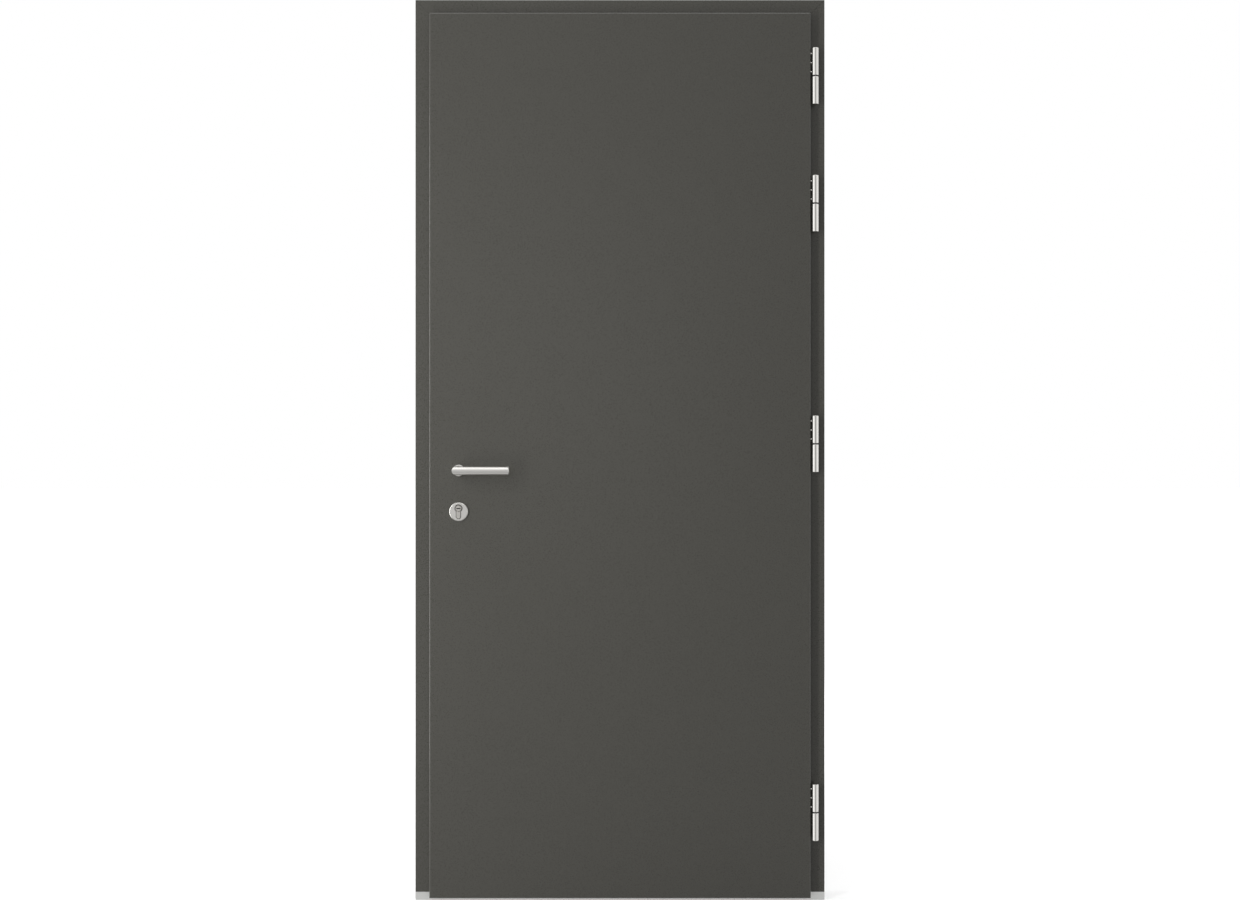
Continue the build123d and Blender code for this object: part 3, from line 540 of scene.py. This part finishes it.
# Lamps: name, place, aim, width and height, watts, and whether metal mirrors the lamp
LAMPS = [
    ("front", (-0.3, -3.2, 1.6), DOOR_MIDDLE, (1.2, 1.2), 14.5, False),
    ("top_strip", (0.0, -0.7, 3.4), (0.0, -0.1, 1.6), (2.4, 0.5), 6.4, True),
    ("left_rim", (-2.2, 0.25, 1.1), (-0.46, -0.06, 1.1), (0.5, 2.4), 26, True),
    ("right_rim", (2.2, 0.25, 1.1), (0.46, -0.06, 1.1), (0.5, 2.4), 2, True),
    ("top_rim", (0.0, 0.25, 3.4), (0.0, -0.06, 2.16), (2.4, 0.5), 6.4, True),
    ("left_key", (-1.2, -1.7, 1.15), DOOR_MIDDLE, (0.35, 2.4), 25.4, False),
    ("left_strip", (-1.2, -1.7, 1.15), DOOR_MIDDLE, (0.35, 2.4), 5, True),
    ("left_wall", (-2.6, -1.5, 1.1), (0.47, -0.07, 1.1), (2.6, 4.0), 16, True),
    ("back_key", (2.25, 2.4, 1.6), (0.0, 0.04, 1.1), (2.8, 2.4), 65, False),
    ("back_strip", (2.25, 2.4, 1.6), (0.0, 0.04, 1.1), (2.8, 2.4), 20, True),
]
# Camera: level, 3.84 m from the middle of the frame, just under half the door's height
CAMERA_PLACE = (0.0, -3.84, 1.0997)
CAMERA_TURN = (math.radians(90), 0, 0)
CAMERA_LENS = 45.13
SENSOR_WIDTH = 36.0


def softbox(name, place, aim, size, watts, mirrored_in_metal):
    """Rectangular lamp at a place, turned towards a point."""
    lamp = bpy.data.lights.new(name, "AREA")
    lamp.shape = "RECTANGLE"
    lamp.size, lamp.size_y = size
    lamp.energy = watts
    made = bpy.data.objects.new(name, lamp)
    made.location = place
    made.rotation_euler = (Vector(aim) - Vector(place)).to_track_quat("-Z", "Y").to_euler()
    made.visible_glossy = mirrored_in_metal
    made.visible_camera = False
    bpy.context.scene.collection.objects.link(made)


def ramp(value, ends, levels):
    """Inputs of a map from two end values to two levels."""
    low, high = levels
    return {"Value": value, "From Min": ends[0], "From Max": ends[1], "To Min": low, "To Max": high}


def studio_world():
    """White surroundings for camera, glossy and transmission rays, darker towards the dim end of the studio
    behind the camera and downwards, and a plain grey level for the light that falls on the door."""
    world = bpy.data.worlds.new("studio")
    bpy.context.scene.world = world
    world.use_nodes = True
    tree = world.node_tree
    tree.nodes.clear()
    rays = add(tree, "LightPath").outputs
    way = add(tree, "TexCoord").outputs["Generated"]
    facing = add(tree, "VectorMath", {0: way, 1: DIM_END}, operation="DOT_PRODUCT").outputs["Value"]
    rise = add(tree, "SeparateXYZ", {"Vector": way}).outputs["Z"]
    dim = ramp(facing, DIM_COSINES, (DIM_LEVEL, 1.0))
    aside = add(tree, "MapRange", dim, interpolation_type="SMOOTHSTEP")
    ground = add(tree, "MapRange", ramp(rise, GROUND_RISE, (GROUND_LEVEL, 1.0)))
    under = add(tree, "MapRange", ramp(rise, UNDER_RISE, (0.0, UNDER_LEVEL)))
    seen = add(tree, "Math", {0: aside.outputs["Result"], 1: ground.outputs["Result"]}, operation="MULTIPLY")
    seen = add(tree, "Math", {0: seen.outputs[0], 1: under.outputs["Result"]}, operation="MAXIMUM")
    shiny = add(tree, "Math", {0: rays["Is Glossy Ray"], 1: rays["Is Transmission Ray"]}, operation="MAXIMUM")
    glow = add(tree, "Math", {0: seen.outputs[0], 1: AMBIENT}, operation="SUBTRACT")
    level = add(tree, "Math", {0: shiny.outputs[0], 1: glow.outputs[0], 2: AMBIENT}, operation="MULTIPLY_ADD")
    level = add(tree, "Math", {0: rays["Is Camera Ray"], 1: level.outputs[0]}, operation="MAXIMUM")
    sky = add(tree, "Background", {"Color": (1, 1, 1, 1), "Strength": level.outputs[0]})
    add(tree, "OutputWorld", {"Surface": sky.outputs["Background"]})


def studio_floor():
    """Pale floor under the door. Camera rays get a glow on top of the light that falls on it, so that it goes
    to white and keeps a soft shadow. The glow is less near the door, where the lamps reach the floor."""
    values = {"Base Color": linear("#C4C4C4"), "Roughness": 0.9, "Emission Color": (1, 1, 1, 1)}
    made, tree, shader, place = new_finish("floor_pale_matt", values)
    rays = add(tree, "LightPath").outputs
    away = add(tree, "VectorMath", {0: place}, operation="LENGTH").outputs["Value"]
    level = add(tree, "MapRange", ramp(away, FLOOR_GLOW_REACH, FLOOR_GLOW), interpolation_type="SMOOTHSTEP")
    glow = add(tree, "Math", {0: rays["Is Camera Ray"], 1: level.outputs["Result"]}, operation="MULTIPLY")
    tree.links.new(glow.outputs[0], shader.inputs["Emission Strength"])
    x, y = np.meshgrid((-FLOOR_HALF, FLOOR_HALF), (-FLOOR_HALF, FLOOR_HALF))
    corners = np.stack([x, y, np.full_like(x, FLOOR_Z)], axis=-1).reshape(-1, 3)
    mesh = bpy.data.meshes.new("floor")
    mesh.from_pydata(corners.tolist(), [], [(0, 1, 3, 2)])
    mesh.materials.append(made)
    floor = bpy.data.objects.new("floor", mesh)
    floor.visible_glossy = False
    bpy.context.scene.collection.objects.link(floor)


for lamp_values in LAMPS:
    softbox(*lamp_values)
studio_world()
studio_floor()

lens = bpy.data.cameras.new("camera")
lens.sensor_width = SENSOR_WIDTH
lens.lens = CAMERA_LENS
camera = bpy.data.objects.new("camera", lens)
camera.location = CAMERA_PLACE
camera.rotation_euler = CAMERA_TURN
bpy.context.scene.collection.objects.link(camera)
bpy.context.scene.camera = camera
bpy.context.scene.view_settings.view_transform = "Standard"
